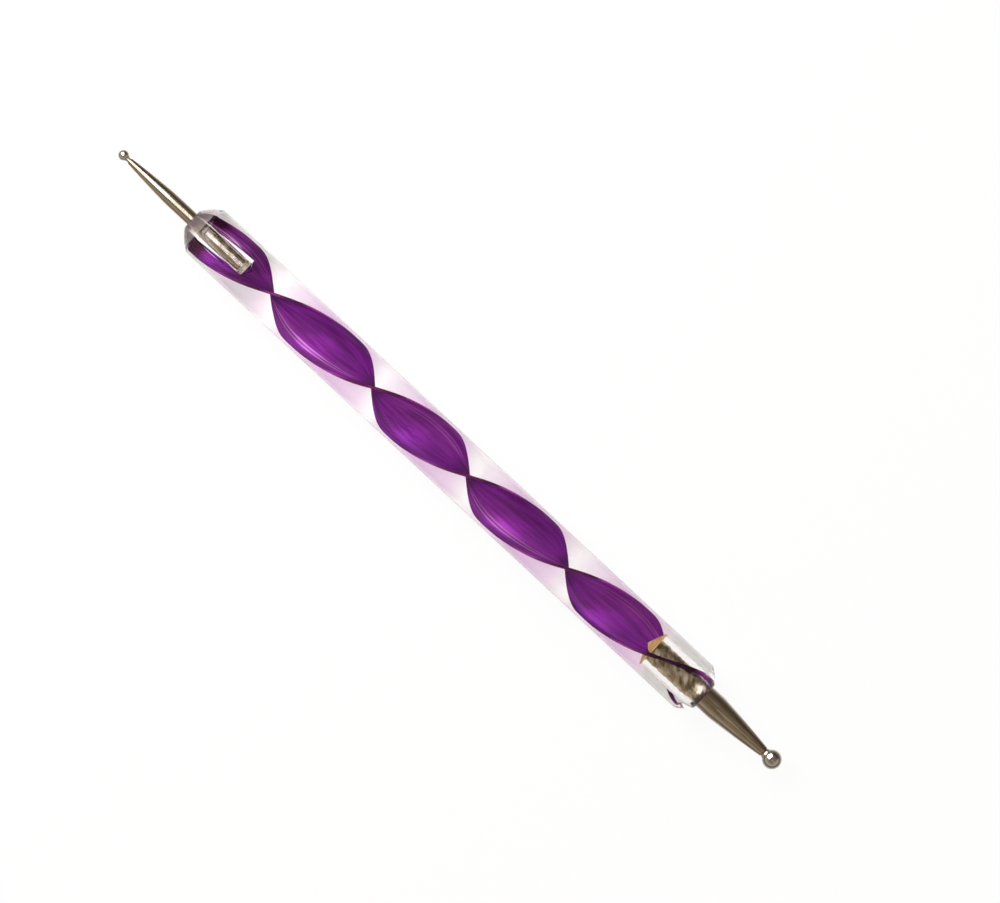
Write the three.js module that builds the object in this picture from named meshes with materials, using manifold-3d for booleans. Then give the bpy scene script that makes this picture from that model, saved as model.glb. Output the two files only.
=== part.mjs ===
// Double-ended dotting tool, in millimetres.
// A clear acrylic rod holds a ribbon that twists along its core. A blind bore is drilled into each end
// of the rod, and a tapered steel pin with a ball brazed to its point is glued into each bore.
// +X runs along the rod from the fine ball to the broad ball, +Z is up as the tool lies on a table,
// and the origin is the middle of the tool's box.
import * as THREE from 'three';
import { mergeVertices } from 'three/addons/utils/BufferGeometryUtils.js';
import Module from 'manifold-3d';

const wasm = await Module();
wasm.setup();

// Clear rod
const rodDiameter = 8.0;
const rodLength = 98.2;

// Ribbon: one half turn in every halfTurnLength, lying flat at firstFlatPlace from the rod's fine end
const ribbonWidth = 4.8;
const ribbonThickness = 0.3;
const halfTurnLength = 18.8;
const firstFlatPlace = 5.8;
const ribbonSetback = 0.08;

// Fine end
const fineBallDiameter = 1.5;
const fineNeckDiameter = 0.66;
const fineNeckLength = 0.5;
const fineTaperTipDiameter = 0.9;
const fineTaperLength = 7.5;
const fineShankDiameter = 2.0;
const fineShankShown = 4.5;
const fineShankSeated = 9.9;
const fineGlueGap = 0.08;
const fineGlueClimb = 0.3;
const fineGlueBed = 0.2;
const fineBrazeLeg = 0.14;
const fineNoseLength = 2.4;
const fineNoseCrown = 0.14;
const fineLandWidth = 0.5;

// Broad end
const broadBallDiameter = 2.75;
const broadNeckDiameter = 1.3;
const broadNeckLength = 0.34;
const broadTaperTipDiameter = 1.5;
const broadTaperLength = 9.0;
const broadShankDiameter = 3.5;
const broadShankShown = 2.4;
const broadShankSeated = 9.7;
const broadGlueGap = 0.1;
const broadGlueClimb = 0.3;
const broadGlueBed = 0.2;
const broadBrazeLeg = 0.18;
const broadNoseLength = 1.95;
const broadNoseCrown = 0.1;
const broadLandWidth = 0.3;

// Shared by both ends
const drillPointAngle = 118;
const shankEndBreak = 0.25;
const brazeHollow = 0.02;

// Room that two touching pieces keep between them
const fitGap = 0.02;

// Fineness of the round and twisted forms
const roundSides = 32;
const curveSteps = 5;
const ballSteps = 14;
const stepsPerHalfTurn = 24;
const ribbonDivisions = 4;

const drillSlope = Math.tan(THREE.MathUtils.degToRad(drillPointAngle / 2));

// One end of the tool. Places along it are measured from the rod's end face, outward positive.
function toolEnd(sizes) {
  const cupRadius = sizes.ball / 2 + fitGap;
  const neckRadius = sizes.neck / 2;
  const boreRadius = sizes.shank / 2 + sizes.glueGap;
  const taperEnd = sizes.shown + sizes.taperLength;
  const neckEnd = taperEnd + sizes.neckLength;
  const ballCentre = neckEnd + Math.sqrt(cupRadius ** 2 - neckRadius ** 2);
  return {
    ...sizes,
    cupRadius,
    neckRadius,
    boreRadius,
    taperEnd,
    ballCentre,
    ballRadius: sizes.ball / 2,
    shankRadius: sizes.shank / 2,
    taperTipRadius: sizes.taperTip / 2,
    boreDepth: sizes.seated + sizes.glueBed,
    landRadius: boreRadius + sizes.landWidth,
    reach: ballCentre + sizes.ball / 2,
  };
}

const fineEnd = toolEnd({
  ball: fineBallDiameter,
  neck: fineNeckDiameter,
  neckLength: fineNeckLength,
  taperTip: fineTaperTipDiameter,
  taperLength: fineTaperLength,
  shank: fineShankDiameter,
  shown: fineShankShown,
  seated: fineShankSeated,
  glueGap: fineGlueGap,
  glueClimb: fineGlueClimb,
  glueBed: fineGlueBed,
  brazeLeg: fineBrazeLeg,
  noseLength: fineNoseLength,
  noseCrown: fineNoseCrown,
  landWidth: fineLandWidth,
});

const broadEnd = toolEnd({
  ball: broadBallDiameter,
  neck: broadNeckDiameter,
  neckLength: broadNeckLength,
  taperTip: broadTaperTipDiameter,
  taperLength: broadTaperLength,
  shank: broadShankDiameter,
  shown: broadShankShown,
  seated: broadShankSeated,
  glueGap: broadGlueGap,
  glueClimb: broadGlueClimb,
  glueBed: broadGlueBed,
  brazeLeg: broadBrazeLeg,
  noseLength: broadNoseLength,
  noseCrown: broadNoseCrown,
  landWidth: broadLandWidth,
});

// The rod's two end faces, placed so that the balls reach equally far from the origin
const fineFace = (fineEnd.reach - rodLength - broadEnd.reach) / 2;
const broadFace = fineFace + rodLength;

const clearAcrylic = new THREE.MeshStandardMaterial({
  color: 0xf4f2f4, roughness: 0.05, metalness: 0.0, transparent: true, opacity: 0.3,
});
const purpleFilm = new THREE.MeshStandardMaterial({ color: 0x7c2c8c, roughness: 0.35, metalness: 0.0 });
const turnedSteel = new THREE.MeshStandardMaterial({ color: 0xa8a29a, roughness: 0.3, metalness: 1.0 });
const polishedSteel = new THREE.MeshStandardMaterial({ color: 0xc4c0ba, roughness: 0.1, metalness: 1.0 });
const silverBraze = new THREE.MeshStandardMaterial({ color: 0xd8d2c4, roughness: 0.3, metalness: 1.0 });
const clearGlue = new THREE.MeshStandardMaterial({ color: 0xd9d2c2, roughness: 0.3, metalness: 0.0 });
const amberGlue = new THREE.MeshStandardMaterial({ color: 0xc89f67, roughness: 0.35, metalness: 0.0 });

// A profile point: how far from the axis, and where along it
function at(radius, along) {
  return new THREE.Vector2(radius, along);
}

// Turns a profile about +X, with a flat side downward so that the tool can lie still
function turned(profile) {
  const geometry = new THREE.LatheGeometry(profile, roundSides, Math.PI / roundSides);
  return geometry.rotateZ(-Math.PI / 2);
}

// A curve from one profile point to another, leaving the straight line by the given bulge to its left
function bulged(from, to, bulge) {
  const chord = to.clone().sub(from);
  const left = at(-chord.y, chord.x).normalize();
  const middle = from.clone().add(to).multiplyScalar(0.5).addScaledVector(left, 2 * bulge);
  return new THREE.QuadraticBezierCurve(from, middle, to).getPoints(curveSteps);
}

// Points on a circle centred on the axis, between two distances from the axis on its inner side
function cupPoints(centre, radius, fromDistance, toDistance) {
  const from = Math.asin(fromDistance / radius);
  const to = Math.asin(toDistance / radius);
  const points = [];
  for (let step = 0; step <= curveSteps; step++) {
    const angle = THREE.MathUtils.lerp(from, to, step / curveSteps);
    points.push(at(radius * Math.sin(angle), centre - radius * Math.cos(angle)));
  }
  return points;
}

function solidOf(geometry) {
  const bare = geometry.clone();
  bare.deleteAttribute('normal');
  bare.deleteAttribute('uv');
  const merged = mergeVertices(bare);
  return new wasm.Manifold(new wasm.Mesh({
    numProp: 3,
    vertProperties: new Float32Array(merged.attributes.position.array),
    triVerts: new Uint32Array(merged.index.array),
  }));
}

function geometryOf(solid) {
  const mesh = solid.getMesh();
  const geometry = new THREE.BufferGeometry();
  geometry.setAttribute('position', new THREE.BufferAttribute(mesh.vertProperties, 3));
  geometry.setIndex(new THREE.BufferAttribute(mesh.triVerts, 1));
  geometry.computeVertexNormals();
  return geometry;
}

function piece(name, geometry, material) {
  const mesh = new THREE.Mesh(geometry, material);
  mesh.name = name;
  return mesh;
}

// The rod's outside: a narrow flat land round each bore and a crowned nose up to the full diameter
function rodBody(setback) {
  const rodRadius = rodDiameter / 2;
  const from = fineFace + setback;
  const to = broadFace - setback;
  return turned([
    at(0, from),
    ...bulged(at(fineEnd.landRadius, from), at(rodRadius, from + fineEnd.noseLength), -fineEnd.noseCrown),
    ...bulged(at(rodRadius, to - broadEnd.noseLength), at(broadEnd.landRadius, to), -broadEnd.noseCrown),
    at(0, to),
  ]);
}

// A drilled bore with its conical point, grown all round by the given room and open past the mouth
function bore(end, room) {
  const radius = end.boreRadius + room;
  const bottom = -end.boreDepth - room;
  return turned([
    at(0, bottom - radius / drillSlope),
    at(radius, bottom),
    at(radius, end.boreDepth),
    at(0, end.boreDepth),
  ]);
}

// A flat strip along the rod, turned about +X in proportion to its place along the rod
function twistedStrip(room) {
  const length = rodLength + 2 * room;
  const steps = Math.ceil(length / halfTurnLength * stepsPerHalfTurn);
  const strip = new THREE.BoxGeometry(
    length, ribbonWidth + 2 * room, ribbonThickness + 2 * room, steps, ribbonDivisions, 1);
  strip.translate((fineFace + broadFace) / 2, 0, 0);
  const axis = new THREE.Vector3(1, 0, 0);
  const points = strip.attributes.position;
  const point = new THREE.Vector3();
  for (let index = 0; index < points.count; index++) {
    point.fromBufferAttribute(points, index);
    const turns = (point.x - fineFace - firstFlatPlace) / halfTurnLength;
    point.applyAxisAngle(axis, -Math.PI * turns);
    points.setXYZ(index, point.x, point.y, point.z);
  }
  return strip;
}

// Sets a form that belongs to one end in its place on the rod
function placedAtFine(geometry) {
  return geometry.rotateZ(Math.PI).translate(fineFace, 0, 0);
}

function placedAtBroad(geometry) {
  return geometry.translate(broadFace, 0, 0);
}

// Steel pin: seated shank with a broken edge, shown shank, taper, neck and a cup for the ball
function pin(end) {
  return turned([
    at(0, -end.seated),
    at(end.shankRadius - shankEndBreak, -end.seated),
    at(end.shankRadius, -end.seated + shankEndBreak),
    at(end.shankRadius, end.shown),
    at(end.taperTipRadius, end.taperEnd),
    at(end.neckRadius, end.taperEnd),
    ...cupPoints(end.ballCentre, end.cupRadius, end.neckRadius, 0),
  ]);
}

function ball(end) {
  const points = [];
  for (let step = 0; step <= ballSteps; step++) {
    const angle = Math.PI * step / ballSteps;
    points.push(at(end.ballRadius * Math.sin(angle), end.ballCentre - end.ballRadius * Math.cos(angle)));
  }
  return turned(points);
}

// Braze ring: a hollow-faced fillet that lies on the neck and runs up the back of the ball
function brazeRing(end) {
  const inner = end.neckRadius + fitGap;
  const onBall = cupPoints(end.ballCentre, end.cupRadius, inner, inner + end.brazeLeg);
  const corner = onBall[0];
  const onNeck = at(inner, corner.y - end.brazeLeg);
  const face = bulged(onNeck, onBall[curveSteps], brazeHollow);
  return turned([...face, ...onBall.slice(0, -1).reverse(), onNeck]);
}

// Glue: fills the drill point under the shank and climbs a little way up round it
function adhesive(end) {
  const inner = end.shankRadius + fitGap;
  const outer = end.boreRadius - fitGap;
  const floor = -end.seated - fitGap;
  const top = floor + end.glueClimb;
  const bottom = -end.boreDepth + fitGap;
  return turned([
    at(0, bottom - outer / drillSlope),
    at(outer, bottom),
    at(outer, top),
    at(inner, top),
    at(inner, floor),
    at(0, floor),
  ]);
}

// The rod loses both bores and the ribbon's slot, which runs out through both noses
const bores = solidOf(placedAtFine(bore(fineEnd, 0))).add(solidOf(placedAtBroad(bore(broadEnd, 0))));
const slot = solidOf(twistedStrip(fitGap));
const handleRod = solidOf(rodBody(0)).subtract(bores).subtract(slot);

// The ribbon stops just inside the noses and forks round each bore
const ribbonBores = solidOf(placedAtFine(bore(fineEnd, fitGap)))
  .add(solidOf(placedAtBroad(bore(broadEnd, fitGap))));
const ribbon = solidOf(twistedStrip(0)).intersect(solidOf(rodBody(ribbonSetback))).subtract(ribbonBores);

const tool = new THREE.Group();
tool.name = 'dotting_tool';
tool.add(piece('handle_rod', geometryOf(handleRod), clearAcrylic));
tool.add(piece('twist_ribbon', geometryOf(ribbon), purpleFilm));

const fineGroup = new THREE.Group();
fineGroup.position.x = fineFace;
fineGroup.rotation.z = Math.PI;
fineGroup.add(piece('fine_pin', pin(fineEnd), turnedSteel));
fineGroup.add(piece('fine_ball', ball(fineEnd), polishedSteel));
fineGroup.add(piece('fine_ball_braze', brazeRing(fineEnd), silverBraze));
fineGroup.add(piece('fine_adhesive', adhesive(fineEnd), clearGlue));
tool.add(fineGroup);

const broadGroup = new THREE.Group();
broadGroup.position.x = broadFace;
broadGroup.add(piece('broad_pin', pin(broadEnd), turnedSteel));
broadGroup.add(piece('broad_ball', ball(broadEnd), polishedSteel));
broadGroup.add(piece('broad_ball_braze', brazeRing(broadEnd), silverBraze));
broadGroup.add(piece('broad_adhesive', adhesive(broadEnd), amberGlue));
tool.add(broadGroup);

export default tool;
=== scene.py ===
"""Looks of a double-ended dotting tool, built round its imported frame.

Metres. +X runs along the clear rod from the fine point to the broad point, and +Z is up with the tool
lying on a table.
"""
import math
from dataclasses import dataclass
from itertools import pairwise

import bmesh
import bpy
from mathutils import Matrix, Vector, noise


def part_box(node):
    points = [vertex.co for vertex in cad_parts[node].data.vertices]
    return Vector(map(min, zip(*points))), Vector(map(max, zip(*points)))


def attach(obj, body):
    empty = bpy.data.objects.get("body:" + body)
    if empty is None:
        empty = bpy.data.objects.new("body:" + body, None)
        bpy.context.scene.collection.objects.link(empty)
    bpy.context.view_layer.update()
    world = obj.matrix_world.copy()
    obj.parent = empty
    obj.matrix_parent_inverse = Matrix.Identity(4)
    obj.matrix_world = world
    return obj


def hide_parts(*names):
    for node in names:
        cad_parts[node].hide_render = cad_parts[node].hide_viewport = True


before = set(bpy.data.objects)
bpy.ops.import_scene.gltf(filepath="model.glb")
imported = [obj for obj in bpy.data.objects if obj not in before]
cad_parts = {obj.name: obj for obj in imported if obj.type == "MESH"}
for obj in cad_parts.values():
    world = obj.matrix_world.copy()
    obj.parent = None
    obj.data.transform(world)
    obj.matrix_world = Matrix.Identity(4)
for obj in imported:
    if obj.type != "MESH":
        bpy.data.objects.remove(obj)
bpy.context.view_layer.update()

# Sizes of the rod and the ribbon, from the frame where it holds them
MM = 0.001
CAD_SIDES = 32
FLAT_TO_ROUND = 1 / math.cos(math.pi / CAD_SIDES)
rod_low, rod_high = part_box("handle_rod")
ROD_RADIUS = rod_high.z * FLAT_TO_ROUND
RIBBON_HALF_WIDTH = 2.4 * MM
RIBBON_THICKNESS = 0.4 * MM
RIBBON_INSET = 0.06 * MM
HALF_TURN = 18.8 * MM
FIRST_FLAT = rod_low.x + 5.8 * MM

# Fineness of the meshes
SIDES = 144
BORE_STEP = 0.09 * MM
BORE_POINT_STEP = 0.36 * MM
BARREL_STEP = 2 * MM
NOSE_STEPS = 20
SHOULDER_STEPS = 8
RIBBON_STEP = 0.35 * MM
RIBBON_LANES = 22
SEAT_STEP = 0.09 * MM
SHOWN_STEP = 0.1 * MM
TAPER_STEPS = 70
CUP_STEPS = 6
BALL_STEPS = 72
GLUE_STEP = 0.1 * MM


@dataclass
class PointEnd:
    """One end of the tool. Depths run into the rod from its end face, reaches run out of it."""

    name: str
    outward: int
    face: float
    neck_radius: float
    taper_tip_radius: float
    taper_length: float
    shank_shown: float
    bore_radius: float
    bore_depth: float
    bore_point: float
    nose_length: float
    nose_crown: float
    land_radius: float
    mouth_break: float
    glue_climb: float
    braze_leg: float

    def __post_init__(self):
        ball_low, ball_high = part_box(f"{self.name}_ball")
        pin_low, pin_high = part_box(f"{self.name}_pin")
        self.ball_radius = (ball_high.x - ball_low.x) / 2
        self.ball_reach = self.outward * ((ball_high.x + ball_low.x) / 2 - self.face)
        self.shank_radius = pin_high.z * FLAT_TO_ROUND
        inner_end = pin_high.x if self.outward < 0 else pin_low.x
        self.shank_seated = self.outward * (self.face - inner_end)

    def place(self, reach):
        """X of a place that lies reach out of the rod's end face, or into the rod where it is negative."""
        return self.face + self.outward * reach


fine = PointEnd(
    name="fine", outward=-1, face=rod_low.x,
    neck_radius=0.33 * MM, taper_tip_radius=0.45 * MM, taper_length=7.5 * MM, shank_shown=4.5 * MM,
    bore_radius=1.17 * MM, bore_depth=10.35 * MM, bore_point=0.75 * MM,
    nose_length=2.4 * MM, nose_crown=0.14 * MM, land_radius=1.58 * MM, mouth_break=0.1 * MM,
    glue_climb=0.35 * MM, braze_leg=0.14 * MM,
)
broad = PointEnd(
    name="broad", outward=1, face=rod_high.x,
    neck_radius=0.65 * MM, taper_tip_radius=0.75 * MM, taper_length=9.0 * MM, shank_shown=2.4 * MM,
    bore_radius=1.85 * MM, bore_depth=9.9 * MM, bore_point=1.11 * MM,
    nose_length=1.95 * MM, nose_crown=0.1 * MM, land_radius=2.15 * MM, mouth_break=0.1 * MM,
    glue_climb=0.05 * MM, braze_leg=0.18 * MM,
)


# Curves and meshes

def arc(start, end, rise, steps):
    """Points of a shallow arc from start to end that stands rise proud of its chord, to its left."""
    (x0, r0), (x1, r1) = start, end
    across = (r0 - r1, x1 - x0)
    length = math.hypot(*across)
    points = []
    for k in range(steps + 1):
        t = k / steps
        lift = rise * 4 * t * (1 - t) / length
        points.append((x0 + (x1 - x0) * t + across[0] * lift, r0 + (r1 - r0) * t + across[1] * lift))
    return points


def steady(start, end, step):
    """Points from start to end, about a step apart."""
    (x0, r0), (x1, r1) = start, end
    count = max(1, round(math.hypot(x1 - x0, r1 - r0) / step))
    return [(x0 + (x1 - x0) * k / count, r0 + (r1 - r0) * k / count) for k in range(count + 1)]


def noise_round(along, fineness, angle):
    """Noise at a place along the tool and an angle about it, with no seam."""
    return noise.noise(Vector((along, fineness * math.cos(angle), fineness * math.sin(angle))))


def finished(name, mesh, crease_degrees=28):
    """The object that holds a bmesh, with smooth faces and creases at its true edges."""
    bmesh.ops.remove_doubles(mesh, verts=mesh.verts, dist=1e-8)
    bmesh.ops.recalc_face_normals(mesh, faces=mesh.faces)
    data = bpy.data.meshes.new(name)
    mesh.to_mesh(data)
    mesh.free()
    data.shade_smooth()
    data.set_sharp_from_angle(angle=math.radians(crease_degrees))
    obj = bpy.data.objects.new(name, data)
    bpy.context.collection.objects.link(obj)
    return obj


def turned(name, stretches, ripple=None, looped=False):
    """A mesh turned about X from stretches, (material slot, [(x, radius), ...]), that join end to end."""
    mesh = bmesh.new()
    rings, slots = [], []
    for slot, points in stretches:
        for x, radius in points:
            ring = []
            for k in range(SIDES if radius > 0 else 1):
                angle = 2 * math.pi * k / SIDES
                r = radius + (ripple(x, radius, angle) if ripple and radius > 0 else 0)
                ring.append(mesh.verts.new((x, r * math.cos(angle), r * math.sin(angle))))
            rings.append(ring)
            slots.append(slot)
    if looped:
        rings.append(rings[0])
        slots.append(slots[0])
    for (near, far), slot in zip(pairwise(rings), slots[1:]):
        for k in range(SIDES):
            near_side = [near[k % len(near)], near[(k + 1) % len(near)]]
            far_side = [far[(k + 1) % len(far)], far[k % len(far)]]
            face = mesh.faces.new(list(dict.fromkeys(near_side + far_side)))
            face.material_index = slot
    return finished(name, mesh)


def dress(obj, node, slot, *materials):
    """Fits a piece to the tool: its materials, the node it stands for and its body. Its finish, slot, is not
    used.
    """
    for material in materials:
        obj.data.materials.append(material)
    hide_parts(node)
    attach(obj, "root")
    return obj


# Clear rod with its two drilled bores

POLISHED, TURNED, DRILLED, FROSTED = range(4)
SHOULDER_ROUND = 0.3 * MM
BORE_MARGIN = 0.02 * MM
DRILL_LEAD = 1.3 * MM
TORN_LENGTH = 0.9 * MM
CHATTER_LENGTH = 0.3 * MM
FINE_BORE_MARKS = 0.003 * MM
BROAD_BORE_MARKS = 0.016 * MM


def bore_marks(x, radius, angle):
    """Torn, slanting marks that a drill leaves on the wall of a bore, coarser in the broad one."""
    if radius > broad.bore_radius + BORE_MARGIN:
        return 0
    slanted = angle + x / DRILL_LEAD
    torn = noise_round(x / TORN_LENGTH, 2.2, slanted)
    chatter = noise_round(x / CHATTER_LENGTH, 6, slanted)
    depth = BROAD_BORE_MARKS if x > 0 else FINE_BORE_MARKS
    return depth * (torn + 0.7 * chatter)


def nose_edge(end, past):
    """Point of the rod's outline that lies past the corner between nose and barrel, or before it."""
    slope = math.hypot(end.nose_length, ROD_RADIUS - end.land_radius)
    back = min(past, 0) / slope
    x = end.place(-end.nose_length * (1 + back) - max(past, 0))
    return x, ROD_RADIUS + (ROD_RADIUS - end.land_radius) * back


def shoulder_round(end, share):
    """Point of the rounded shoulder, from the nose at share 0 to the barrel at share 1."""
    before, corner, after = (nose_edge(end, past) for past in (-SHOULDER_ROUND, 0, SHOULDER_ROUND))
    weights = (1 - share) ** 2, 2 * share * (1 - share), share ** 2
    return tuple(sum(w * p[axis] for w, p in zip(weights, (before, corner, after))) for axis in (0, 1))


def rod_end(end):
    """Stretches of the rod's outline at one end, from the bottom of the bore to the nose's shoulder."""
    bore_tip = (end.place(-end.bore_depth - end.bore_point), 0)
    bore_floor = (end.place(-end.bore_depth), end.bore_radius)
    wall_top = (end.place(-end.mouth_break), end.bore_radius)
    mouth = (end.place(0), end.bore_radius + end.mouth_break)
    land = (end.place(0), end.land_radius)
    wall = steady(bore_floor, wall_top, BORE_STEP)
    point = steady(bore_tip, bore_floor, BORE_POINT_STEP)
    nose = arc(land, nose_edge(end, -SHOULDER_ROUND), end.nose_crown * -end.outward, NOSE_STEPS)
    shoulder = [shoulder_round(end, k / SHOULDER_STEPS) for k in range(1, SHOULDER_STEPS + 1)]
    bore = (DRILLED, point + wall[1:])
    if end is broad:
        return [bore, (TURNED, [mouth] + nose + shoulder)]
    return [bore, (FROSTED, [mouth] + nose[:-2]), (POLISHED, nose[-2:] + shoulder)]


def clear_rod():
    """The rod, from the bottom of the fine bore round the outside to the bottom of the broad bore."""
    near_end = rod_end(fine)
    far_end = [(slot, points[::-1]) for slot, points in reversed(rod_end(broad))]
    barrel = steady(nose_edge(fine, SHOULDER_ROUND), nose_edge(broad, SHOULDER_ROUND), BARREL_STEP)[1:]
    # The barrel already ends on the first point of the broad shoulder
    far_end[0] = (TURNED, far_end[0][1][1:])
    return turned("clear_rod", [*near_end, (POLISHED, barrel), *far_end], ripple=bore_marks)


# Twisted ribbon

TORN_BACK = 0.42 * MM
CORNER_BREAK = 0.04 * MM
RIDGE_SHARE = 0.07
FLAT_DWELL = 0.042
# Hand-twisted, so the twist runs late by these lengths at these places along the rod, in mm
TWIST_LATE = (
    (-49.0, 0.1), (-35.5, 0.02), (-30.0, 0.34), (-17.5, 0.85), (-13.5, 0.6), (0.0, 0.05),
    (6.4, 0.0), (19.0, 0.3), (24.0, 0.2), (34.4, 0.3), (49.0, 0.1),
)


def twist_late(x):
    """How late the twist runs at x."""
    steps = list(pairwise(TWIST_LATE))
    (x0, late0), (x1, late1) = next((step for step in steps if x / MM <= step[1][0]), steps[-1])
    share = min(max((x / MM - x0) / (x1 - x0), 0), 1)
    return (late0 + (late1 - late0) * (1 - math.cos(math.pi * share)) / 2) * MM


def ribbon_turn(x):
    """How far the ribbon has turned about the rod at x. It lingers a little where it lies flat."""
    turn = math.pi * (x - twist_late(x) - FIRST_FLAT) / HALF_TURN
    return FLAT_DWELL * math.sin(2 * turn) - turn


def room_inside(x, side):
    """Radius that the ribbon leaves open for a bore at x. The broad drill tore one half further back."""
    for end in (fine, broad):
        depth = end.outward * (end.face - x)
        past_wall = max(0.0, depth - end.bore_depth)
        torn_back = TORN_BACK if end is broad and side > 0 else RIBBON_INSET
        if depth < end.bore_depth + end.bore_point:
            return (end.bore_radius + torn_back) * (1 - past_wall / end.bore_point)
    return 0.0


def room_outside(x):
    """Radius that the ribbon's edge may reach at x without leaving the rod's nose."""
    reach = RIBBON_HALF_WIDTH
    for end in (fine, broad):
        depth = end.outward * (end.face - x)
        slope = (ROD_RADIUS - end.land_radius) / end.nose_length
        reach = min(reach, end.land_radius + slope * depth - RIBBON_INSET)
    return reach


def ridges(across):
    """Fine lengthwise ridges of the ribbon's two faces, from -1 to 1."""
    s = across / RIBBON_HALF_WIDTH
    return (math.sin(17 * s + 0.6) + 0.7 * math.sin(31 * s + 2.1) + 0.5 * math.sin(53 * s)) / 2.2


def strip_section(mesh, x, side):
    """Corners of one half of the ribbon at x, out along one face and back along the other."""
    across_of, face_of = mesh.verts.layers.float["across"], mesh.verts.layers.float["face"]
    inner, outer = room_inside(x, side), room_outside(x)
    angle = ribbon_turn(x)
    y_axis = Vector((0, math.cos(angle), math.sin(angle)))
    z_axis = Vector((0, -math.sin(angle), math.cos(angle)))
    faces = []
    for face in (1, -1):
        lane = []
        for k in range(RIBBON_LANES + 1):
            share = min(k / (RIBBON_LANES - 1), 1)
            across = side * (inner + (outer - CORNER_BREAK - inner) * share)
            half = RIBBON_THICKNESS / 2 * (1 + RIDGE_SHARE * ridges(across))
            if k == RIBBON_LANES:
                across += side * CORNER_BREAK
                half -= CORNER_BREAK
            corner = mesh.verts.new(Vector((x, 0, 0)) + y_axis * across + z_axis * face * half)
            corner[across_of] = across / RIBBON_HALF_WIDTH
            corner[face_of] = face
            lane.append(corner)
        faces.append(lane)
    return faces[0] + faces[1][::-1]


def half_strip(mesh, places, side):
    """One edge's half of the ribbon: a closed strip from the middle, or from a bore, out to the edge."""
    loops = [strip_section(mesh, x, side) for x in places]
    corners = 2 * (RIBBON_LANES + 1)
    for (near, far), (x0, x1) in zip(pairwise(loops), pairwise(places)):
        open_to_bore = room_inside(x0, side) > 0 or room_inside(x1, side) > 0
        for k in range(corners if open_to_bore else corners - 1):
            after = (k + 1) % corners
            mesh.faces.new((near[k], near[after], far[after], far[k]))
    for loop in (loops[0], loops[-1]):
        for k in range(RIBBON_LANES):
            mesh.faces.new((loop[k], loop[k + 1], loop[-2 - k], loop[-1 - k]))


def twisted_ribbon():
    """The ribbon, in two halves that meet along its middle and fork round the bores."""
    mesh = bmesh.new()
    for run in ("across", "face"):
        mesh.verts.layers.float.new(run)
    first, last = fine.place(-RIBBON_INSET), broad.place(-RIBBON_INSET)
    count = round((last - first) / RIBBON_STEP)
    places = [first + (last - first) * k / count for k in range(count + 1)]
    for side in (1, -1):
        half_strip(mesh, places, side)
    return finished("twisted_ribbon", mesh, crease_degrees=35)


# Steel points

SHOWN, SEATED = range(2)
END_BREAK = 0.25 * MM
SEAT_GAP = 0.02 * MM
NECK_SHOULDER = 0.06 * MM
TAPER_SWELL = 0.05 * MM
SCORED_FROM = -0.3 * MM
SCORE_LENGTH = 0.6 * MM
FINE_SCORES = 0.001 * MM
BROAD_SCORES = 0.009 * MM
RING_LENGTH = 0.05 * MM
RING_DEPTH = 0.0012 * MM
BRAZE_HOLLOW = 0.02 * MM
BRAZE_LUMPS = 0.012 * MM


def ball_arc(end, radius, from_angle, to_angle, steps):
    """Points on a sphere about the ball's centre. Angle 0 faces the rod and pi faces away from it."""
    centre = end.place(end.ball_reach)
    points = []
    for k in range(steps + 1):
        angle = from_angle + (to_angle - from_angle) * k / steps
        points.append((centre - end.outward * radius * math.cos(angle), max(0.0, radius * math.sin(angle))))
    return points


def pin_marks(end):
    """Marks on a pin: fine rings where it is turned, and slanting scores that key its seat to the glue."""
    def marks(x, radius, angle):
        reach = end.outward * (x - end.face)
        if reach > SCORED_FROM:
            return RING_DEPTH * noise.noise(Vector((x / RING_LENGTH, 0, 0)))
        score = noise_round(reach / SCORE_LENGTH, 6, angle + reach / end.shank_radius)
        return score * (BROAD_SCORES if end is broad else FINE_SCORES)
    return marks


def pin(end):
    """Steel pin: seat, shown shank, taper and neck, with its end hollowed to cup the ball."""
    cup_radius = end.ball_radius + SEAT_GAP
    cup_edge = math.asin(end.neck_radius / cup_radius)
    seat_end = -end.shank_seated
    taper_end = end.shank_shown + end.taper_length
    at_mouth = (end.place(0), end.shank_radius)
    at_taper = (end.place(end.shank_shown), end.shank_radius)
    at_tip = (end.place(taper_end), end.taper_tip_radius)
    seat = [(end.place(seat_end), 0), (end.place(seat_end), end.shank_radius - END_BREAK)]
    seat += steady((end.place(seat_end + END_BREAK), end.shank_radius), at_mouth, SEAT_STEP)
    shown = steady(at_mouth, at_taper, SHOWN_STEP)[1:]
    taper = arc(at_taper, at_tip, TAPER_SWELL * end.outward, TAPER_STEPS)[1:]
    neck = [(end.place(taper_end + NECK_SHOULDER), end.neck_radius)]
    cup = ball_arc(end, cup_radius, cup_edge, 0, CUP_STEPS)
    stretches = [(SEATED, seat), (SHOWN, shown + taper + neck + cup)]
    return turned(f"{end.name}_point_pin", stretches, pin_marks(end))


def ball(end):
    """Polished ball on the end of a pin."""
    return turned(f"{end.name}_point_ball", [(0, ball_arc(end, end.ball_radius, 0, math.pi, BALL_STEPS))])


def braze_ring(end):
    """Fillet of braze in the corner between the ball and its neck."""
    bed = end.ball_radius + SEAT_GAP
    inner = math.asin((end.neck_radius + SEAT_GAP) / bed)
    outer = inner + end.braze_leg / bed
    on_ball = ball_arc(end, bed, inner, outer, 5)
    neck_top = (on_ball[0][0] - end.outward * end.braze_leg, end.neck_radius + SEAT_GAP)
    hollow = arc(on_ball[-1], neck_top, BRAZE_HOLLOW * -end.outward, 6)

    def lumps(x, radius, angle):
        return BRAZE_LUMPS * noise_round(x * 3000, 2.5, angle)

    return turned(f"{end.name}_braze_ring", [(0, on_ball + hollow[1:])], lumps, looped=True)


# Glue in the drill points

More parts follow.
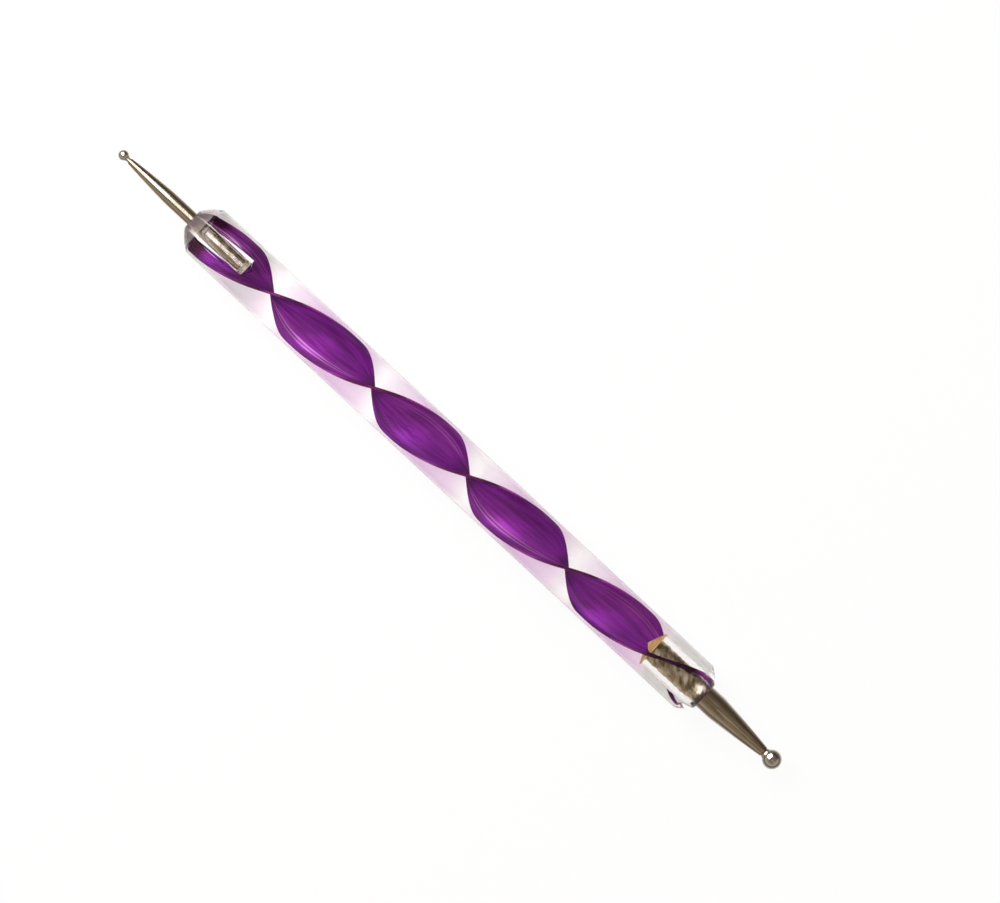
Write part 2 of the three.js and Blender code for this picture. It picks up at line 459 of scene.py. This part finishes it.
GLUE_HOLLOW = 0.02 * MM
GLUE_SWELL = 0.015 * MM
SWELL_MARGIN = 0.01 * MM


def glue(end, squeeze):
    """Glue between the drill point and the end of the shank. It stands squeeze past the bore's wall."""
    wall = end.bore_radius + squeeze
    inside = end.shank_radius + SEAT_GAP
    lip = min(inside, end.shank_radius - END_BREAK + end.glue_climb + 2 * SEAT_GAP)
    seat_end = -end.shank_seated
    apex = (end.place(-end.bore_depth - end.bore_point - squeeze), 0)
    at_wall = (end.place(-end.bore_depth), wall)
    top = end.place(seat_end + end.glue_climb)
    outline = steady(apex, at_wall, GLUE_STEP)
    outline += steady(at_wall, (top, wall), GLUE_STEP)[1:]
    outline += arc((top, wall), (top, lip), GLUE_HOLLOW * end.outward, 6)[1:]
    if lip == inside:
        outline.append((end.place(seat_end + END_BREAK), inside))
    under_shank = end.place(seat_end - SEAT_GAP)
    outline += [(under_shank, end.shank_radius - END_BREAK), (under_shank, 0)]

    def swell(x, radius, angle):
        if inside + SWELL_MARGIN < radius < wall - SWELL_MARGIN:
            return GLUE_SWELL * noise_round(x * 1500, 1.5, angle)
        return 0

    return turned(f"{end.name}_point_glue", [(0, outline)], swell)


# Shader helpers

def add(tree, kind, **settings):
    """A new node of a kind, with its settings."""
    node = tree.nodes.new(kind)
    for name, value in settings.items():
        setattr(node, name, value)
    return node


def link(source, target):
    """Joins an output socket to an input socket."""
    target.id_data.links.new(source, target)


def math_node(tree, operation, *values):
    """Output of a math node whose inputs are numbers or sockets."""
    node = add(tree, "ShaderNodeMath", operation=operation)
    for socket, value in zip(node.inputs, values):
        if isinstance(value, (int, float)):
            socket.default_value = value
        else:
            link(value, socket)
    return node.outputs[0]


def blended(tree, factor, first, second):
    """Colour between two colours or sockets by a factor."""
    node = add(tree, "ShaderNodeMix", data_type="RGBA")
    # Inputs 6 and 7 and output 2 of a Mix node are its colours
    sockets = node.inputs["Factor"], node.inputs[6], node.inputs[7]
    for socket, value in zip(sockets, (factor, first, second)):
        if isinstance(value, tuple):
            socket.default_value = (*value, 1)
        elif isinstance(value, (int, float)):
            socket.default_value = value
        else:
            link(value, socket)
    return node.outputs[2]


def ranged(tree, value, low, high, to_low, to_high, smooth=False):
    """A value moved from one range to another."""
    node = add(tree, "ShaderNodeMapRange", interpolation_type="SMOOTHSTEP" if smooth else "LINEAR")
    link(value, node.inputs["Value"])
    for name, number in (("From Min", low), ("From Max", high), ("To Min", to_low), ("To Max", to_high)):
        node.inputs[name].default_value = number
    return node.outputs["Result"]


def own_axes(tree):
    """X, Y and Z of a place on a piece, in the tool's frame."""
    axes = add(tree, "ShaderNodeSeparateXYZ")
    link(add(tree, "ShaderNodeTexCoord").outputs["Object"], axes.inputs[0])
    return axes.outputs


def new_group(name, inputs, outputs):
    """An empty shader group with named sockets, and its input and output nodes."""
    tree = bpy.data.node_groups.new(name, "ShaderNodeTree")
    for label, kind, default in inputs:
        socket = tree.interface.new_socket(label, in_out="INPUT", socket_type=kind)
        socket.default_value = default
    for label, kind in outputs:
        tree.interface.new_socket(label, in_out="OUTPUT", socket_type=kind)
    return tree, add(tree, "NodeGroupInput").outputs, add(tree, "NodeGroupOutput").inputs


def use_group(tree, group, **values):
    """A group placed in a material with its own values. Underscores in names stand for spaces."""
    node = add(tree, "ShaderNodeGroup", node_tree=group)
    for name, value in values.items():
        node.inputs[name.replace("_", " ")].default_value = value
    return node.outputs


def new_material(name, **constants):
    """A material with a Principled shader whose sockets hold these constants."""
    material = bpy.data.materials.new(name)
    material.use_nodes = True
    tree = material.node_tree
    shader = tree.nodes["Principled BSDF"]
    for label, value in constants.items():
        shader.inputs[label.replace("_", " ")].default_value = value
    return material, tree, shader


def bumped(tree, shader, height, strength, distance):
    """Drives a shader's normal by a height."""
    node = add(tree, "ShaderNodeBump")
    node.inputs["Strength"].default_value = strength
    node.inputs["Distance"].default_value = distance
    link(height, node.inputs["Height"])
    link(node.outputs["Normal"], shader.inputs["Normal"])


# Effects that several finishes share

def turning_rings():
    """Rings that a lathe tool leaves round the X axis, broken up so that no two look alike."""
    tree, given, result = new_group(
        "Turning rings",
        [("Rings per mm", "NodeSocketFloat", 8.0), ("Break up", "NodeSocketFloat", 0.4)],
        [("Rings", "NodeSocketFloat")],
    )
    along_mm = math_node(tree, "DIVIDE", own_axes(tree)["X"], MM)
    rings = add(tree, "ShaderNodeTexNoise", noise_dimensions="1D")
    rings.inputs["Detail"].default_value = 3
    rings.inputs["Scale"].default_value = 1
    link(math_node(tree, "MULTIPLY", along_mm, given["Rings per mm"]), rings.inputs["W"])
    patches = add(tree, "ShaderNodeTexNoise")
    patches.inputs["Scale"].default_value = 2200
    link(add(tree, "ShaderNodeTexCoord").outputs["Object"], patches.inputs["Vector"])
    fade = math_node(tree, "MULTIPLY", patches.outputs["Fac"], given["Break up"])
    link(math_node(tree, "SUBTRACT", rings.outputs["Fac"], fade), result["Rings"])
    return tree


def handling_marks():
    """Fine scratches and soft smudges that a tool picks up in use."""
    tree, given, result = new_group(
        "Handling marks",
        [("Scratch scale", "NodeSocketFloat", 900.0), ("Smudge scale", "NodeSocketFloat", 120.0)],
        [("Scratches", "NodeSocketFloat"), ("Smudges", "NodeSocketFloat")],
    )
    place = add(tree, "ShaderNodeTexCoord").outputs["Object"]
    drawn = add(tree, "ShaderNodeMapping")
    drawn.inputs["Rotation"].default_value = (0.5, 0.35, 0.9)
    drawn.inputs["Scale"].default_value = (0.12, 1, 1)
    link(place, drawn.inputs["Vector"])
    lines = add(tree, "ShaderNodeTexNoise")
    lines.inputs["Detail"].default_value = 2
    link(drawn.outputs[0], lines.inputs["Vector"])
    link(given["Scratch scale"], lines.inputs["Scale"])
    thin = ranged(tree, lines.outputs["Fac"], 0.62, 0.7, 0.0, 1.0)
    smudges = add(tree, "ShaderNodeTexNoise")
    smudges.inputs["Detail"].default_value = 4
    link(place, smudges.inputs["Vector"])
    link(given["Smudge scale"], smudges.inputs["Scale"])
    link(thin, result["Scratches"])
    link(smudges.outputs["Fac"], result["Smudges"])
    return tree


def tone_drift():
    """Slow drift of a colour between two tones, drawn out along a slant where Stretch says so."""
    tree, given, result = new_group(
        "Tone drift",
        [
            ("First tone", "NodeSocketColor", (1, 1, 1, 1)),
            ("Second tone", "NodeSocketColor", (0, 0, 0, 1)),
            ("Scale", "NodeSocketFloat", 300.0),
            ("Stretch", "NodeSocketVector", (1, 1, 1)),
            ("Slant", "NodeSocketVector", (0, 0, 0)),
        ],
        [("Tone", "NodeSocketColor")],
    )
    slanted = add(tree, "ShaderNodeMapping", vector_type="TEXTURE")
    link(given["Slant"], slanted.inputs["Rotation"])
    link(add(tree, "ShaderNodeTexCoord").outputs["Object"], slanted.inputs["Vector"])
    link(given["Stretch"], slanted.inputs["Scale"])
    drift = add(tree, "ShaderNodeTexNoise")
    drift.inputs["Detail"].default_value = 5
    link(slanted.outputs[0], drift.inputs["Vector"])
    link(given["Scale"], drift.inputs["Scale"])
    mask = ranged(tree, drift.outputs["Fac"], 0.35, 0.65, 0.0, 1.0, smooth=True)
    link(blended(tree, mask, given["First tone"], given["Second tone"]), result["Tone"])
    return tree


RINGS, MARKS, DRIFT = turning_rings(), handling_marks(), tone_drift()


def drifting(tree, tones, scale, stretch=1.0, slant=0.0):
    """Colour that drifts between two tones, drawn out stretch times along a slant about Z."""
    first, second = tones
    return use_group(
        tree, DRIFT, First_tone=(*first, 1), Second_tone=(*second, 1),
        Scale=scale, Stretch=(stretch, 1, 1), Slant=(0, 0, slant),
    )["Tone"]


# Finish of the rod

CLEAR_TONES = (0.995, 0.982, 0.975), (0.985, 0.97, 0.965)
DRILLED_TONES = (0.96, 0.93, 0.91), (0.62, 0.54, 0.48)
FROSTED_TONES = (0.56, 0.46, 0.46), (0.44, 0.35, 0.35)


def clear_acrylic(name, tones, clearness, haze, ring_strength, streaks=(90.0, 1.0, 0.0), fade=None):
    """Clear acrylic: polished, turned, drilled or frosted.

    Streaks are the scale, stretch and slant of its tones. Frost fades out between the two x of fade.
    """
    material, tree, shader = new_material(
        name, IOR=1.49, Transmission_Weight=clearness, Specular_IOR_Level=0.5,
    )
    tone = drifting(tree, tones, *streaks)
    marks = use_group(tree, MARKS, Scratch_scale=700.0, Smudge_scale=260.0)
    rough = ranged(tree, marks["Smudges"], 0.3, 0.7, 0.4 * haze, 1.6 * haze)
    if fade:
        frost = ranged(tree, own_axes(tree)["X"], *fade, 1.0, 0.0, smooth=True)
        tone = blended(tree, frost, CLEAR_TONES[0], tone)
        rough = math_node(tree, "MULTIPLY", rough, frost)
    link(tone, shader.inputs["Base Color"])
    link(rough, shader.inputs["Roughness"])
    rings = use_group(tree, RINGS, Rings_per_mm=14.0, Break_up=0.4)
    scored = math_node(tree, "MULTIPLY", marks["Scratches"], 0.05)
    height = math_node(tree, "MULTIPLY_ADD", rings["Rings"], ring_strength, scored)
    bumped(tree, shader, height, 0.25, 0.02 * MM)
    return material


# Finish of the ribbon

STREAK_LENGTH = 40 * MM
PALE_LINES = (0.56, 0.05), (0.69, 0.045)
TORN_RIM = 0.54


def ribbon_streaks(tree, along, across):
    """Streaks drawn out along the ribbon."""
    drawn = add(tree, "ShaderNodeCombineXYZ")
    link(math_node(tree, "DIVIDE", along, STREAK_LENGTH), drawn.inputs["X"])
    link(across, drawn.inputs["Y"])
    streaks = add(tree, "ShaderNodeTexNoise", noise_dimensions="2D")
    streaks.inputs["Scale"].default_value = 4.5
    streaks.inputs["Detail"].default_value = 5
    streaks.inputs["Roughness"].default_value = 0.65
    link(drawn.outputs[0], streaks.inputs["Vector"])
    return streaks.outputs["Fac"]


def streaked_purple(tree, streaks, across):
    """The ribbon's purple, deeper towards one edge and paler towards the other."""
    streak = ranged(tree, streaks, 0.34, 0.66, 0.0, 1.0)
    deep_side = blended(tree, streak, (0.115, 0.006, 0.17), (0.275, 0.026, 0.39))
    pale_side = blended(tree, streak, (0.17, 0.012, 0.235), (0.345, 0.042, 0.43))
    side = ranged(tree, across, -0.3, 0.6, 0.0, 1.0, smooth=True)
    return blended(tree, side, deep_side, pale_side)


def pale_lined(tree, body, streaks, across, face):
    """A colour with two worn, pale lines near one edge, kept fainter on one face by painted shade."""
    lines = []
    for middle, width in PALE_LINES:
        away = math_node(tree, "ABSOLUTE", math_node(tree, "SUBTRACT", across, middle))
        lines.append(ranged(tree, away, 0, width, 1.0, 0.0, smooth=True))
    worn = ranged(tree, streaks, 0.35, 0.6, 0.4, 1.0)
    # Painted shade: the lines are kept fainter on one face
    painted_face_shade = ranged(tree, face, -0.5, 0.5, 1.0, 0.4)
    pale = math_node(tree, "MULTIPLY", math_node(tree, "MAXIMUM", *lines), worn)
    return blended(tree, math_node(tree, "MULTIPLY", pale, painted_face_shade), body, (0.62, 0.27, 0.68))


def torn_rim(tree, along, across):
    """Mask of the rim that the fine drill tore in the ribbon, along the outer part of its bore."""
    off_rim = math_node(tree, "ABSOLUTE", math_node(tree, "SUBTRACT", across, TORN_RIM))
    by_bore = ranged(tree, off_rim, 0.0, 0.07, 1.0, 0.0, smooth=True)
    torn_end = fine.place(-6 * MM)
    beside = ranged(tree, along, torn_end, torn_end + 2 * MM, 1.0, 0.0)
    return math_node(tree, "MULTIPLY", by_bore, beside)


def painted_shade_places(tree, along):
    """Mask of the ribbon's painted shade: behind the fine nose, at the fine drill point, by the broad bore.
    """
    def rise(first, last, height):
        return ranged(tree, along, first, last, 0.0, height, smooth=True)

    def fall(first, last):
        return ranged(tree, along, first, last, 1.0, 0.0, smooth=True)

    nose_side = fine.place(-fine.nose_length - 1.2 * MM)
    fine_point = fine.place(-fine.bore_depth)
    broad_point = broad.place(-broad.bore_depth)
    behind_nose = fall(nose_side, nose_side + 2.3 * MM)
    to_fine_point = rise(fine_point - 2.8 * MM, fine_point - 0.6 * MM, 0.55)
    past_fine_point = fall(fine_point + 1.2 * MM, fine_point + 4.2 * MM)
    to_broad_bore = rise(broad_point - 0.8 * MM, broad_point + 0.6 * MM, 0.85)
    to_broad_nose = fall(broad.place(-4 * MM), broad.place(-2.4 * MM))
    by_fine_point = math_node(tree, "MULTIPLY", to_fine_point, past_fine_point)
    by_broad_bore = math_node(tree, "MULTIPLY", to_broad_bore, to_broad_nose)
    by_fine = math_node(tree, "MAXIMUM", behind_nose, by_fine_point)
    return math_node(tree, "MAXIMUM", by_fine, by_broad_bore)


def cut_edges(tree, across, face):
    """Mask of the ribbon's two cut edges."""
    on_side = ranged(tree, math_node(tree, "ABSOLUTE", face), 0.9, 1.0, 1.0, 0.0)
    outmost = math_node(tree, "GREATER_THAN", math_node(tree, "ABSOLUTE", across), 0.95)
    return math_node(tree, "MULTIPLY", on_side, outmost)


def sheer_in_rod(tree, shader, thick_or_shaded):
    """Lets light through the ribbon where it is seen through the rod, and less where it is thick or carries
    painted shade.
    """
    path = add(tree, "ShaderNodeLightPath").outputs
    film = add(tree, "ShaderNodeBsdfTransparent")
    link(blended(tree, thick_or_shaded, (0.9, 0.32, 0.92), (0.2, 0.04, 0.15)), film.inputs["Color"])
    sheer = add(tree, "ShaderNodeMixShader")
    link(ranged(tree, path["Diffuse Depth"], 0, 1, 0.22, 0.6), sheer.inputs[0])
    link(shader.outputs[0], sheer.inputs[1])
    link(film.outputs[0], sheer.inputs[2])
    in_rod = add(tree, "ShaderNodeMixShader")
    link(path["Is Transmission Ray"], in_rod.inputs[0])
    link(shader.outputs[0], in_rod.inputs[1])
    link(sheer.outputs[0], in_rod.inputs[2])
    link(in_rod.outputs[0], tree.nodes["Material Output"].inputs["Surface"])


def purple_ribbon():
    """Satin purple film, a little see-through, with drawn-out streaks and glossy cut edges.

    It carries painted shade behind the fine nose and by the bores, and is darker where it is seen end on.
    """
    material, tree, shader = new_material(
        "purple_ribbon_satin", Specular_IOR_Level=0.0, Specular_Tint=(0.25, 0.08, 0.3, 1),
    )
    along = own_axes(tree)["X"]
    across = add(tree, "ShaderNodeAttribute", attribute_name="across").outputs["Fac"]
    face = add(tree, "ShaderNodeAttribute", attribute_name="face").outputs["Fac"]
    streaks = ribbon_streaks(tree, along, across)
    torn = torn_rim(tree, along, across)
    cut_edge = cut_edges(tree, across, face)
    off_rim = math_node(tree, "SUBTRACT", 1.0, math_node(tree, "MULTIPLY", torn, 0.8))
    # Painted shade behind the fine nose and by the bores, kept off the torn rim
    painted_shade = math_node(tree, "MULTIPLY", painted_shade_places(tree, along), off_rim)
    slope = add(tree, "ShaderNodeLayerWeight")
    slope.inputs["Blend"].default_value = 0.5
    steep = math_node(tree, "POWER", slope.outputs["Facing"], 3.6)

    body = streaked_purple(tree, streaks, across)
    lined = pale_lined(tree, body, streaks, across, face)
    rimmed = blended(tree, torn, lined, (0.6, 0.22, 0.62))
    edged = blended(tree, cut_edge, rimmed, (0.35, 0.05, 0.3))
    turned_away = blended(tree, steep, edged, (0.03, 0.002, 0.02))
    # Painted shade: the ribbon's colour goes dark behind the fine nose and by the bores
    link(blended(tree, painted_shade, turned_away, (0.06, 0.006, 0.045)), shader.inputs["Base Color"])
    link(ranged(tree, cut_edge, 0.0, 1.0, 0.45, 1.0), shader.inputs["Metallic"])
    satin = ranged(tree, streaks, 0.3, 0.7, 0.5, 0.35)
    link(math_node(tree, "MULTIPLY_ADD", cut_edge, -0.25, satin), shader.inputs["Roughness"])
    bumped(tree, shader, streaks, 1.0, 0.05 * MM)

    outside = math_node(tree, "SUBTRACT", 1.0, add(tree, "ShaderNodeNewGeometry").outputs["Backfacing"])
    edge_outside = math_node(tree, "MULTIPLY", cut_edge, outside)
    end_on = math_node(tree, "MAXIMUM", steep, edge_outside)
    # The film also lets less light through where painted shade lies
    sheer_in_rod(tree, shader, math_node(tree, "MAXIMUM", end_on, painted_shade))
    return material


# Finishes of the points and the glue

def steel(name, tones, roughness, ring_strength, rings_per_mm, streaks=(420.0, 1.0, 0.0)):
    """Bare steel with turning rings and smudges. Streaks are the scale, stretch and slant of its tones."""
    material, tree, shader = new_material(name, Metallic=1.0, Specular_Tint=(0.55, 0.5, 0.46, 1))
    link(drifting(tree, tones, *streaks), shader.inputs["Base Color"])
    marks = use_group(tree, MARKS, Scratch_scale=2600.0, Smudge_scale=500.0)
    rings = use_group(tree, RINGS, Rings_per_mm=rings_per_mm, Break_up=0.5)
    worn = ranged(tree, marks["Smudges"], 0.3, 0.7, 0.75 * roughness, 1.35 * roughness)
    scored = math_node(tree, "MULTIPLY_ADD", marks["Scratches"], 0.12, worn)
    link(scored, shader.inputs["Roughness"])
    scratched = math_node(tree, "MULTIPLY", marks["Scratches"], 0.1)
    height = math_node(tree, "MULTIPLY_ADD", rings["Rings"], ring_strength, scratched)
    bumped(tree, shader, height, 0.3, 0.01 * MM)
    return material


def cured_glue(name, tones, clearness, roughness):
    """Cured glue, cloudy and a little uneven."""
    material, tree, shader = new_material(name, Transmission_Weight=clearness, IOR=1.5)
    link(drifting(tree, tones, 900.0), shader.inputs["Base Color"])
    marks = use_group(tree, MARKS, Scratch_scale=1500.0, Smudge_scale=1200.0)
    rough = ranged(tree, marks["Smudges"], 0.3, 0.7, 0.6 * roughness, 1.5 * roughness)
    link(rough, shader.inputs["Roughness"])
    bumped(tree, shader, marks["Smudges"], 0.3, 0.05 * MM)
    return material


ACRYLIC = (
    clear_acrylic("clear_acrylic_polished", CLEAR_TONES, clearness=1.0, haze=0.004, ring_strength=0.0),
    clear_acrylic("clear_acrylic_turned", CLEAR_TONES, clearness=0.95, haze=0.12, ring_strength=1.0),
    clear_acrylic(
        "clear_acrylic_drilled", DRILLED_TONES, clearness=1.0, haze=0.06, ring_strength=0.5,
        streaks=(1500.0, 4.0, -0.8),
    ),
    clear_acrylic(
        "clear_acrylic_frosted", FROSTED_TONES, clearness=0.82, haze=0.26, ring_strength=0.6,
        fade=(fine.place(-0.9 * MM), fine.place(-fine.nose_length - 0.6 * MM)),
    ),
)
# Its brown tones stand partly for the warm room that the steel mirrors: a painted reflection
TURNED_STEEL = steel(
    "turned_steel_points", ((0.46, 0.39, 0.3), (0.64, 0.57, 0.47)),
    roughness=0.16, ring_strength=1.0, rings_per_mm=11.0, streaks=(2400.0, 16.0, 0.0),
)
SEATED_STEEL = steel(
    "glued_steel_seats", ((0.32, 0.255, 0.15), (0.95, 0.9, 0.79)),
    roughness=0.3, ring_strength=0.5, rings_per_mm=5.0, streaks=(1800.0, 3.0, -0.8),
)
GROUND_STEEL = steel(
    "ground_steel_seat", ((0.66, 0.62, 0.57), (0.86, 0.83, 0.79)),
    roughness=0.2, ring_strength=0.5, rings_per_mm=8.0,
)
POLISHED_STEEL = steel(
    "polished_steel_balls", ((0.66, 0.63, 0.6), (0.72, 0.7, 0.67)),
    roughness=0.07, ring_strength=0.15, rings_per_mm=6.0,
)
SILVER_BRAZE = steel(
    "silver_braze_fillet", ((0.72, 0.68, 0.6), (0.78, 0.75, 0.7)),
    roughness=0.25, ring_strength=0.3, rings_per_mm=5.0,
)
CLEAR_GLUE = cured_glue(
    "clear_glue_cured", ((0.72, 0.68, 0.6), (0.8, 0.78, 0.72)), clearness=0.7, roughness=0.2,
)
AMBER_GLUE = cured_glue(
    "amber_glue_cured", ((0.74, 0.47, 0.14), (0.82, 0.58, 0.22)), clearness=0.1, roughness=0.3,
)


# The tool

dress(clear_rod(), "handle_rod", "clear_acrylic", *ACRYLIC)
dress(twisted_ribbon(), "twist_ribbon", "purple_ribbon", purple_ribbon())
for end in (fine, broad):
    seat = SEATED_STEEL if end is broad else GROUND_STEEL
    dress(pin(end), f"{end.name}_pin", "turned_steel", TURNED_STEEL, seat)
    dress(ball(end), f"{end.name}_ball", "polished_steel", POLISHED_STEEL)
    dress(braze_ring(end), f"{end.name}_ball_braze", "silver_braze", SILVER_BRAZE)
dress(glue(fine, -SEAT_GAP), "fine_adhesive", "clear_glue", CLEAR_GLUE)
dress(glue(broad, SEAT_GAP), "broad_adhesive", "amber_glue", AMBER_GLUE)


# Studio: pale floor, room, soft lamps, camera

FLOOR_HALF = 4.0
FLOOR_SHOWN_WHITE = 0.94
FLOOR_MIRRORED_WHITE = 0.2
FLOOR_MIRRORED_DIM = 0.8
FLOOR_THROUGH_WHITE = 0.45
PICTURE_WIDTH = 140.35 * MM
PICTURE_MIDDLE = 4.5 * MM, 5.6 * MM
PICTURE_TURN = math.atan2(0.68181, 0.73152)
CAMERA_HEIGHT = 2.0


def floor_paper():
    """Pale paper: white to the camera, part white through the rod, dim where steel mirrors it low."""
    material, tree, shader = new_material(
        "pale_floor_paper", Base_Color=(0.9, 0.9, 0.9, 1), Roughness=0.9, Specular_IOR_Level=0.0,
    )
    path = add(tree, "ShaderNodeLightPath").outputs
    seen_direct = math_node(tree, "MULTIPLY", path["Is Camera Ray"], FLOOR_SHOWN_WHITE)
    seen_through = math_node(tree, "MULTIPLY", path["Is Transmission Ray"], FLOOR_THROUGH_WHITE)
    unbent = math_node(tree, "SUBTRACT", 1.0, path["Is Transmission Ray"])
    in_mirror = math_node(tree, "MULTIPLY", path["Is Glossy Ray"], unbent)
    slope = add(tree, "ShaderNodeLayerWeight")
    slope.inputs["Blend"].default_value = 0.5
    shallow = ranged(tree, slope.outputs["Facing"], 0.3, 0.5, 0.0, 1.0, smooth=True)
    share = ranged(tree, shallow, 0.0, 1.0, FLOOR_MIRRORED_WHITE, FLOOR_MIRRORED_DIM)
    seen_in_tool = math_node(tree, "MAXIMUM", math_node(tree, "MULTIPLY", in_mirror, share), seen_through)
    darkened = math_node(tree, "MULTIPLY", in_mirror, shallow)
    white = add(tree, "ShaderNodeEmission")
    link(math_node(tree, "SUBTRACT", 1.0, darkened), white.inputs["Strength"])
    mix = add(tree, "ShaderNodeMixShader")
    link(math_node(tree, "MAXIMUM", seen_direct, seen_in_tool), mix.inputs[0])
    link(shader.outputs[0], mix.inputs[1])
    link(white.outputs[0], mix.inputs[2])
    link(mix.outputs[0], tree.nodes["Material Output"].inputs["Surface"])
    return material


def pale_floor():
    """Flat floor that the rod lies on."""
    mesh = bpy.data.meshes.new("pale_floor")
    sides = (-1, -1), (1, -1), (1, 1), (-1, 1)
    corners = [(x * FLOOR_HALF, y * FLOOR_HALF, -ROD_RADIUS) for x, y in sides]
    mesh.from_pydata(corners, [], [(0, 1, 2, 3)])
    mesh.materials.append(floor_paper())
    floor = bpy.data.objects.new("pale_floor", mesh)
    bpy.context.collection.objects.link(floor)


def room_colour(tree):
    """Dim warm room: two walls, a paler wall past the broad end, and a ceiling with a brighter strip."""
    facing = add(tree, "ShaderNodeSeparateXYZ")
    link(add(tree, "ShaderNodeTexCoord").outputs["Generated"], facing.inputs[0])
    towards = math_node(tree, "MULTIPLY_ADD", facing.outputs["X"], 0.6, facing.outputs["Y"])
    far_side = ranged(tree, towards, -0.6, 0.6, 0.0, 1.0, smooth=True)
    sides = blended(tree, far_side, (0.45, 0.38, 0.3), (0.08, 0.06, 0.045))
    past_broad = ranged(tree, facing.outputs["X"], 0.5, 0.85, 0.0, 1.0, smooth=True)
    walls = blended(tree, past_broad, sides, (0.45, 0.38, 0.34))
    off_strip = math_node(tree, "ABSOLUTE", math_node(tree, "ADD", facing.outputs["Y"], 0.11))
    strip = ranged(tree, off_strip, 0.05, 0.13, 1.0, 0.0, smooth=True)
    beyond = ranged(tree, facing.outputs["X"], 0.03, 0.15, 0.0, 1.0, smooth=True)
    bright_strip = math_node(tree, "MULTIPLY", strip, beyond)
    ceiling = blended(tree, bright_strip, (0.22, 0.18, 0.135), (0.48, 0.41, 0.31))
    upward = ranged(tree, facing.outputs["Z"], 0.3, 0.95, 0.0, 1.0, smooth=True)
    return blended(tree, upward, walls, ceiling)


def studio_world():
    """White behind the tool and straight through it, and a dim warm room in what it reflects."""
    world = bpy.data.worlds.new("studio")
    bpy.context.scene.world = world
    world.use_nodes = True
    tree = world.node_tree
    room = tree.nodes["Background"]
    link(room_colour(tree), room.inputs["Color"])
    white = add(tree, "ShaderNodeBackground")
    white.inputs["Color"].default_value = (1, 1, 1, 1)
    path = add(tree, "ShaderNodeLightPath").outputs
    bounces = math_node(tree, "ADD", path["Glossy Depth"], path["Diffuse Depth"])
    unreflected = math_node(tree, "LESS_THAN", bounces, 0.5)
    through = math_node(tree, "MULTIPLY", path["Is Transmission Ray"], unreflected)
    mix = add(tree, "ShaderNodeMixShader")
    link(math_node(tree, "MAXIMUM", path["Is Camera Ray"], through), mix.inputs[0])
    link(room.outputs[0], mix.inputs[1])
    link(white.outputs[0], mix.inputs[2])
    link(mix.outputs[0], tree.nodes["World Output"].inputs["Surface"])


def softbox(name, place, aim, size, brightness):
    """A soft rectangular lamp that shines from place towards aim."""
    lamp = bpy.data.lights.new(name, "AREA")
    lamp.shape = "RECTANGLE"
    lamp.size, lamp.size_y = size
    lamp.energy = brightness * math.pi * size[0] * size[1]
    obj = bpy.data.objects.new(name, lamp)
    obj.location = place
    obj.rotation_euler = (Vector(aim) - Vector(place)).to_track_quat("-Z", "Y").to_euler()
    obj.visible_camera = False
    bpy.context.collection.objects.link(obj)


def camera():
    """The photograph's view: straight down on the tool, with a long lens."""
    data = bpy.data.cameras.new("camera")
    data.sensor_width = 36.0
    data.lens = data.sensor_width * CAMERA_HEIGHT / PICTURE_WIDTH
    data.clip_start, data.clip_end = 0.05, 50
    obj = bpy.data.objects.new("camera", data)
    obj.location = (*PICTURE_MIDDLE, CAMERA_HEIGHT)
    obj.rotation_euler = (0, 0, PICTURE_TURN)
    bpy.context.collection.objects.link(obj)
    bpy.context.scene.camera = obj


pale_floor()
studio_world()
softbox("overhead_softbox", (-0.262, 0.0, 0.25), (-0.262, 0.0, 0.0), (0.41, 0.2), 3.8)
softbox("key_softbox", (-0.8, 0.3, 0.75), (0, 0, 0), (1.2, 1.0), 3.3)
camera()
bpy.context.scene.view_settings.view_transform = "Standard"
# Keeps the light that the clear rod gathers under itself sharp
bpy.context.scene.cycles.blur_glossy = 0.0
